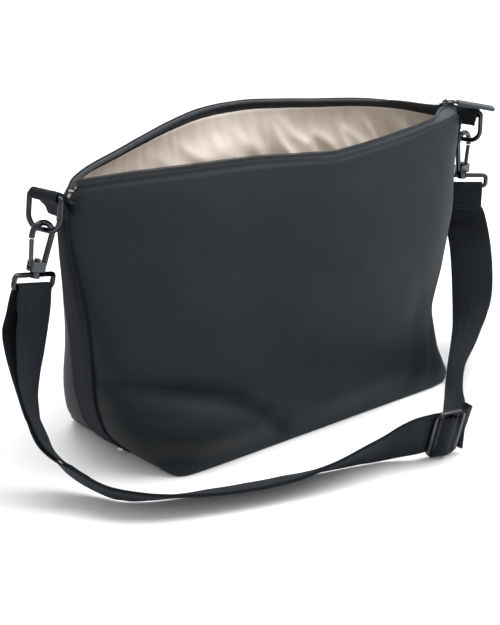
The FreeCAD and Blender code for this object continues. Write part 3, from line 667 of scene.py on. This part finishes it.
# Tape: how far below the mouth's edge and inside the bag it is sewn, and its thickness.
SEWN_DROP, SEWN_INSET, TAPE_THICK = 5.5, 1.9, 0.55
# Coil: distance from the middle line, half width and half height; turn, wire and core radius.
COIL_OFFSET, COIL_HALF, COIL_RISE = 1.65, 1.5, 0.85
COIL_TURN, COIL_WIRE, COIL_CORE, TURN_STEPS = 1.3, 0.33, 0.5, 9
# Where the back tape stops leaning in, and where the two coils close up: from X, over a length.
BOW_FROM, BOW_OVER = 160.0, 50.0
CLOSE_FROM, CLOSE_OVER = 172.0, 46.0
# Points along the mouth's edge, and the two ends of its folded hem.
MOUTH_POINTS = 181
FOLD_LEFT, FOLD_RIGHT = -191, 227
# Rows of points up the tape, and those that carry its two seams.
TAPE_ROWS, SEWN_ROW, COIL_ROW = 9, 2, 7


def bowed(top, front):
    """How far the tape leans in over the lining: only the back one does, up to its right end."""
    return 0.0 if front else 1.0 - smooth((top.x - BOW_FROM) / BOW_OVER)


def coil_point(top, front):
    """Centre of the coil beside one point of the mouth edge; it closes up at the right."""
    inward = 1 if front else -1
    bow = bowed(top, front)
    free = V((top.x, top.y + inward * (2.0 + 3.0 * bow), top.z + 5.6 - 6.6 * bow))
    close = smooth((top.x - CLOSE_FROM) / CLOSE_OVER)
    closed = V((top.x, ZIP_Y - inward * COIL_OFFSET, ZIP_Z))
    return free.lerp(closed, close)


for front in (True, False):
    word = "front" if front else "back"
    inward = 1 if front else -1
    edge = section_row(HEIGHT, front, MOUTH_POINTS)
    sewn = section_row(HEIGHT - SEWN_DROP, front, MOUTH_POINTS, SEWN_INSET)
    rows = [[] for _ in range(TAPE_ROWS)]
    centres, reaches = [], []
    for top, hem in zip(edge, sewn):
        if not ZIP_LEFT < top.x < ZIP_RIGHT:
            continue
        wobble = 0.35 * noise.noise(V((top.x / 26, 4.0 + inward, 0)))
        loose = 1 - smooth((top.x - 160) / 40)
        centre = coil_point(top, front) + V((0, wobble, 0.5 * wobble)) * loose
        bow = bowed(top, front)
        lip = V((top.x, top.y + inward * (1.9 + 0.6 * bow), top.z + 0.4 - 0.3 * bow))
        reach = (centre - lip).normalized()
        end = centre + reach * 0.2
        stops = [hem, hem.lerp(lip, 0.34), hem.lerp(lip, 0.67), lip]
        stops += [lip.lerp(end, w / 5) for w in range(1, 6)]
        for row, p in zip(rows, stops):
            row.append(p)
        centres.append(centre)
        reaches.append(reach)
    tape = thicken(grid("zip_tape_cloth_" + word, rows), TAPE_THICK)
    finish_piece(tape, TAPE, ["zip_tape_" + word])
    # Spiral coil, flattened, sewn along the free edge of the tape.
    run = 0.0
    helix = []
    for k in range(len(centres) - 1):
        a, b = centres[k], centres[k + 1]
        length = (b - a).length
        way = (b - a) / length
        steps = max(2, int(length / COIL_TURN * TURN_STEPS))
        for n in range(steps):
            w = n / steps
            angle = 2 * math.pi * (run + length * w) / COIL_TURN
            reach = reaches[k].lerp(reaches[k + 1], w)
            up = way.cross(reach).normalized()
            helix.append(a.lerp(b, w) + reach * (COIL_HALF * math.cos(angle))
                         + up * (COIL_RISE * math.sin(angle)))
        run += length
    coil = tube("coil_" + word, helix, COIL_WIRE, 5)
    finish_piece(coil, COIL, ["zip_coil_" + word])
    finish_piece(tube("coil_cord_" + word, centres, COIL_CORE, 6), EDGING)
    # The seam that holds the coil, and the row of stitching that holds the tape in the bag.
    outs = normals_of(rows)
    sign = -1 if front else 1
    line = [p - outs[COIL_ROW][k] * 0.75 * sign for k, p in enumerate(rows[COIL_ROW])]
    stitches("stitch_coil_" + word, line, [n * -sign for n in outs[COIL_ROW]], 1.9, 1.4, 0.2)
    line = [p + outs[SEWN_ROW - 1][k] * (sign * -0.6) for k, p in enumerate(rows[SEWN_ROW])]
    stitches("stitch_tape_" + word, line, [n * -sign for n in outs[SEWN_ROW]], 2.6, 1.9, 0.22)
    # Folded edge of the shell beside the tape.
    fold = [p + V((0, inward * 0.4, 0.1)) for p in edge if FOLD_LEFT < p.x < FOLD_RIGHT]
    finish_piece(tube("mouth_fold_" + word, fold, 0.95, 8), COATED)

# ---------------------------------------------------------------- hardware kept from the CAD
KEPT_NODES = ["pull_link", "pull_clasp"]
for kind in ("ring", "hook_body", "gate", "gate_pin", "gate_spring", "strap_loop"):
    KEPT_NODES += [kind + "_left", kind + "_right"]
for node in KEPT_NODES:
    for slot in frame["nodes"][node].material_slots:
        slot.material = GUNMETAL


def body_named(node):
    """The body that holds a CAD node."""
    for body, members in frame["record"]["behaviour"]["bodies"].items():
        if node in members:
            return body
    return "bag"


def rounded_copy(node, name, width, segments, material):
    """The node's shape again with its edges rounded, which stands for the node."""
    obj = bpy.data.objects.new(name, frame["nodes"][node].data.copy())
    bpy.context.scene.collection.objects.link(obj)
    weld = obj.modifiers.new("Weld", "WELD")
    weld.merge_threshold = 0.00001
    flat = obj.modifiers.new("Flat", "DECIMATE")
    flat.decimate_type = "DISSOLVE"
    flat.angle_limit = math.radians(3)
    soften(obj, width, segments)
    finish_piece(obj, material, [node], body_named(node))


rounded_copy("adjuster_frame", "adjuster", 0.7, 4, GUNMETAL)
rounded_copy("zip_slider", "slider", 0.3, 2, GUNMETAL)
rounded_copy("zip_stop_left", "stop_left", 0.35, 3, BRIGHT)
rounded_copy("zip_stop_right", "stop_right", 0.15, 3, BRIGHT)
rounded_copy("pull_leather_upper", "pull_upper", 0.4, 3, LEATHER)
rounded_copy("pull_leather_lower", "pull_lower", 0.4, 3, LEATHER)

# ---------------------------------------------------------------- placement of the sides
LEFT_TURN = Matrix.Rotation(math.radians(15), 3, "Y") @ Matrix.Rotation(math.radians(15), 3, "Z")
RIGHT_TURN = Matrix.Rotation(math.radians(-40), 3, "Z")
LEFT_HOOK, RIGHT_HOOK = V((-226.0, -1.0, 167.8)), V((236.0, 0, 157.6))
LEFT_TAB, RIGHT_TAB = V((-213.5, 0, 224.8)), V((236.0, 0, 215.5))
TAB_HALF, TAB_THICK, TAB_ROLL = 13.0, 1.7, 3.55


def tab(word, centre, turn, first, last, start, finish):
    """Side strip rolled over the ring's top bar and sewn back; its points are given in X and Z."""
    outline = [V((p[0], 0, p[1])) for p in start]
    steps = 22
    for k in range(steps + 1):
        a = math.radians(first + (last - first) * k / steps)
        outline.append(V((centre.x + TAB_ROLL * math.cos(a), 0, centre.z + TAB_ROLL * math.sin(a))))
    outline += [V((p[0], 0, p[1])) for p in finish]
    rows = []
    for k in range(17):
        y = -TAB_HALF + 2 * TAB_HALF * k / 16
        sag = 0.25 * noise.noise(V((y / 5, 3.0, 0)))
        rows.append([p + V((0, y, sag)) for p in outline])
    for row in rows:
        for p in row:
            near = smooth((p - V((centre.x, p.y, centre.z))).length / 16 - 0.4)
            swung = Matrix.Rotation(math.radians(turn * (1 - near)), 3, "Z") @ (p - centre)
            p.xyz = swung + centre
    sheet = grid("tab_roll_" + word, rows)
    thicken(sheet, TAB_THICK)
    soften(sheet, 0.4, 2)
    finish_piece(sheet, STRIP, ["tab_" + word])


top_left = strip_top["left"]
tab("left", LEFT_TAB, 14, 58, 296,
    [(top_left.x + 0.6, top_left.z - 10), (top_left.x + 0.2, top_left.z - 2), (-200.6, 218.0),
     (-205.0, 224.2)],
    [(-206.6, 217.6), (-203.6, 212.0), (-202.8, 206.0)])
top_right = strip_top["right"]
tab("right", RIGHT_TAB, 20, 100, -140,
    [(top_right.x + 0.9, top_right.z - 6), (top_right.x + 1.4, top_right.z + 3), (231.0, 215.0),
     (232.6, 218.4)],
    [(231.6, 211.0), (230.6, 208.0)])

# ---------------------------------------------------------------- strap
HALF_WEB, STRAP_THICK, LAYER_GAP = 19.0, 1.5, 1.6
# The loop's bar lies below the hook's place, and the webbing goes round it with a little play.
LOOP_DROP, LOOP_RADIUS, LOOP_PLAY = 12, 2.0, 0.3
WRAP = LOOP_RADIUS + STRAP_THICK / 2 + LOOP_PLAY


def heading(azimuth, rise):
    """Unit vector from its direction over the floor and its rise, in degrees."""
    a, e = math.radians(azimuth), math.radians(rise)
    return V((math.cos(e) * math.cos(a), math.cos(e) * math.sin(a), math.sin(e)))


def refined(stations, longest):
    """Add stations on a smooth curve wherever they lie far apart."""
    full = [stations[0]]
    last = len(stations) - 1
    for k in range(last):
        p0, p1, p2, p3 = (stations[min(max(k + n, 0), last)] for n in (-1, 0, 1, 2))
        span = (p2[0] - p1[0]).length
        start = (p2[0] - p0[0]) * (span / (span + (p1[0] - p0[0]).length))
        stop = (p3[0] - p1[0]) * (span / ((p3[0] - p2[0]).length + span))
        steps = max(1, math.ceil(span / longest))
        for n in range(1, steps + 1):
            w = n / steps
            centre = (p1[0] * (2 * w ** 3 - 3 * w ** 2 + 1) + start * (w ** 3 - 2 * w ** 2 + w)
                      + p2[0] * (3 * w ** 2 - 2 * w ** 3) + stop * (w ** 3 - w ** 2))
            full.append((centre, p1[1].lerp(p2[1], w)))
    return full


def around(bar, across, outward, upward, start, stop):
    """Stations on an arc round a loop's bar, between two angles in degrees."""
    found = []
    for k in range(13):
        a = math.radians(start + (stop - start) * k / 12)
        found.append((bar + outward * (WRAP * math.cos(a)) + upward * (WRAP * math.sin(a)), across))
    return found


def ribbon(name, stations, material, node):
    """Webbing with rounded selvedges; gives the object and its length in mm."""
    stations = refined(stations, 3.0)
    half, thick = HALF_WEB, STRAP_THICK / 2
    outline = [(-half + 0.7, thick * 0.9)] + [(half * k / 7, thick) for k in range(-6, 7)]
    outline += [(half - 0.7, thick * 0.9), (half - 0.1, thick * 0.45), (half - 0.1, -thick * 0.45),
                (half - 0.7, -thick * 0.9)]
    outline += [(half * k / 7, -thick) for k in range(6, -7, -1)]
    outline += [(-half + 0.7, -thick * 0.9), (-half + 0.1, -thick * 0.45), (-half + 0.1, thick * 0.45)]
    count = len(outline)
    points, uvs, faces = [], [], []
    last = len(stations) - 1
    run_length = 0.0
    for k, (centre, across) in enumerate(stations):
        run = (stations[min(k + 1, last)][0] - stations[max(k - 1, 0)][0]).normalized()
        side = (across - run * across.dot(run)).normalized()
        out = run.cross(side)
        if k:
            run_length += (centre - stations[k - 1][0]).length
        for s, f in outline:
            ripple = 0.16 * noise.noise(V((run_length / 16, s / 9, 8.0)))
            points.append(centre + side * s + out * (f + ripple))
            uvs.append((run_length * MM, (s + 40) * MM))
    for k in range(last):
        for n in range(count):
            m = (n + 1) % count
            faces.append((k * count + n, k * count + m, (k + 1) * count + m, (k + 1) * count + n))
    faces.append(tuple(range(count - 1, -1, -1)))
    faces.append(tuple(last * count + n for n in range(count)))
    obj = mesh_object(name, points, faces, uvs)
    finish_piece(obj, material, [node])
    return obj, run_length


FRAME_ALONG, FRAME_ACROSS = heading(-14, 0), heading(256, 72)
FRAME_OUT = FRAME_ALONG.cross(FRAME_ACROSS)
FRAME_AT = V((32.3, -181.9, 22.6))


def at_frame(along, out):
    """Station beside the adjuster, from its own two directions in mm."""
    return (FRAME_AT + FRAME_ALONG * along + FRAME_OUT * out, FRAME_ACROSS)


# On the floor, both layers: X and Y of the lower edge, azimuth and rise of the width. The lower
# edge clears the floor by a little, and by more near the corner where the strap comes down.
FLOOR_LIFT, CORNER_LIFT, CORNER_Y = 1.4, 2.6, -70
FLOOR_RUN = [(-214, -62, 200, 46), (-206, -77, 214, 38),
             (-192, -89, 238, 31), (-172, -99, 245, 26), (-148, -108, 248, 22),
             (-120, -118, 249, 21), (-90, -127, 251, 23), (-58, -137.5, 251, 34),
             (-27, -147.5, 251, 49), (-8, -155, 251, 60)]
# Below the left hook: place, azimuth and rise of the width, and each layer's distance from there.
HANGING = [((-229.9, -1.3, 139), 197, 8, 9.5, 1.6), ((-233.5, -3.3, 124), 199, 4, 12.0, 1.0),
           ((-238.8, -7.5, 106.5), 205, 6, 8.0, 0.6), ((-243.7, -12, 93), 212, 10, 4.2, 0.5),
           ((-248, -18.5, 78), 220, 16, 1.8, 0.6), ((-250, -27, 62), 225, 26, 1.3, 1.3),
           ((-247, -37, 44), 214, 38, 1.0, 1.9), ((-236, -49, 26), 204, 48, 0.5, 2.1)]
# From the adjuster up to the right hook, one layer: place, azimuth and rise of the width.
SINGLE_RUN = [((58, -170, 21.5), 306, 70), ((81, -144, 21), 318, 68), ((117, -112, 21), 320, 65),
              ((157, -82, 26.5), 320, 50), ((199, -52, 41), 320, 38), ((223, -31, 60), 320, 24),
              ((241, -10, 88), 320, 8), ((243, 0, 112), 320, 2)]
# Beside the adjuster: the layer threaded over its bar, and the end sewn round the bar.
THREADED = [(20, -2.75), (14.5, -2.75), (10.4, -2.6), (7.4, -0.2), (5.0, 3.2), (2.4, 5.1),
            (0, 5.35), (-2.4, 5.1), (-5.0, 3.2), (-7.4, -0.2), (-10.4, -2.6), (-14.5, -2.75),
            (-24, -2.3)]
RETURNED = [(-24, -4.5), (-14.5, -4.95), (-8, -4.9), (-3, -4.1)]
BAR_TURN = 3.3
# Two rows of stitching across the turned-back right end, at these heights below the bar.
END_ROWS, END_REACH = (21.0, 18.4), 17.5

path = [(V(p), heading(az, rise), outer, inner) for p, az, rise, outer, inner in HANGING]
for x, y, az, rise in FLOOR_RUN:
    across = heading(az, rise)
    lift = CORNER_LIFT if y > CORNER_Y else FLOOR_LIFT
    path.append((V((x, y, 0)) + across * HALF_WEB + V((0, 0, lift)), across, 0.0, LAYER_GAP))
outer_layer, inner_layer = [], []
last = len(path) - 1
for k, (centre, across, outer, inner) in enumerate(path):
    run = path[min(k + 1, last)][0] - path[max(k - 1, 0)][0]
    out = run.cross(across).normalized()
    outer_layer.append((centre + out * outer, across))
    inner_layer.append((centre - out * inner, across))

left_bar = LEFT_HOOK + LEFT_TURN @ V((0, 0, -LOOP_DROP))
left_across, left_back, left_up = LEFT_TURN @ -X_AXIS, LEFT_TURN @ Y_AXIS, LEFT_TURN @ Z_AXIS
right_bar = RIGHT_HOOK - Z_AXIS * LOOP_DROP
right_across, right_back = RIGHT_TURN @ X_AXIS, RIGHT_TURN @ Y_AXIS


def below_right(aside, drop):
    """Station below the right loop's bar: how far to its back and how far down."""
    return (right_bar + right_back * aside - Z_AXIS * drop, right_across)


stations = [below_right(-1.15, 24), below_right(-1.2, 17), below_right(-1.9, 10)]
stations += around(right_bar, right_across, right_back, Z_AXIS, 180, 0)
stations += [below_right(1.9, 10), below_right(1.2, 22)]
stations += [(V(p), heading(az, rise)) for p, az, rise in reversed(SINGLE_RUN)]
stations += [at_frame(along, out) for along, out in THREADED]
stations += list(reversed(outer_layer))
stations += around(left_bar, left_across, left_back, left_up, 0, 180)
strap, length = ribbon("strap", stations, TWILL, "strap_webbing")

returning = [(left_bar - left_back * WRAP - left_up * drop, left_across) for drop in (-0.4, 5.0)]
returning += inner_layer
returning += [at_frame(along, out) for along, out in RETURNED]
for k in range(8):
    a = math.radians(-72 + 36 * k)
    returning.append(at_frame(BAR_TURN * math.cos(a), BAR_TURN * math.sin(a)))
inner, inner_length = ribbon("strap_inner", returning, TWILL, "strap_return")

for drop in END_ROWS:
    centre = below_right(-1.2 - 0.85, drop)[0]
    line = [centre + right_across * (END_REACH * k / 6) for k in range(-6, 7)]
    stitches("stitch_end_%d" % int(drop * 10), line, [-right_back] * 12, 2.6, 1.9, 0.3)

# ---------------------------------------------------------------- camera, light and floor
FLOOR_HALF, FLOOR_Z = 4000, -0.4
floor = grid("floor", [[V((x, y, FLOOR_Z)) for x in (-FLOOR_HALF, FLOOR_HALF)]
                       for y in (-FLOOR_HALF, FLOOR_HALF)])
paper = Paint("floor_paper", 0.9)
paper.colour(paper.ramp(paper.noise(paper.add("TexCoord").outputs["Object"], 30.0),
                        [(0.2, (246, 246, 246)), (0.8, (250, 250, 250))]))
floor.data.materials.append(paper.mat)


def area_light(name, place, aim, size, power):
    """Soft rectangular studio light aimed at a point, in metres and watts."""
    data = bpy.data.lights.new(name, "AREA")
    data.shape = "RECTANGLE"
    data.size, data.size_y = size
    data.energy = power
    lamp = bpy.data.objects.new(name, data)
    lamp.location = place
    lamp.rotation_mode = "QUATERNION"
    lamp.rotation_quaternion = (V(aim) - V(place)).to_track_quat("-Z", "Y")
    bpy.context.scene.collection.objects.link(lamp)


area_light("key", (0.9, -0.6, 1.5), (0, 0, 0.1), (1.4, 1.4), 26)
area_light("fill", (-1.6, -0.9, 1.1), (0, 0, 0.1), (1.6, 1.6), 4)
area_light("top", (0.1, 0.1, 1.9), (0, 0, 0.1), (1.6, 1.6), 24)

world = bpy.data.worlds.new("studio")
world.use_nodes = True
world.node_tree.nodes["Background"].inputs["Color"].default_value = (1, 1, 1, 1)
world.node_tree.nodes["Background"].inputs["Strength"].default_value = 0.75
bpy.context.scene.world = world
bpy.context.scene.view_settings.view_transform = "Standard"

camera_data = bpy.data.cameras.new("camera")
camera_data.lens = 98.1
camera_data.sensor_width = 36.0
camera = bpy.data.objects.new("camera", camera_data)
camera.location = (-0.874, -1.018, 0.591)
azimuth, elevation = math.radians(-40.12), math.radians(20.86)
back = V((math.sin(azimuth) * math.cos(elevation), -math.cos(azimuth) * math.cos(elevation),
          math.sin(elevation)))
camera.rotation_mode = "QUATERNION"
camera.rotation_quaternion = (-back).to_track_quat("-Z", "Y")
bpy.context.scene.collection.objects.link(camera)
bpy.context.scene.camera = camera
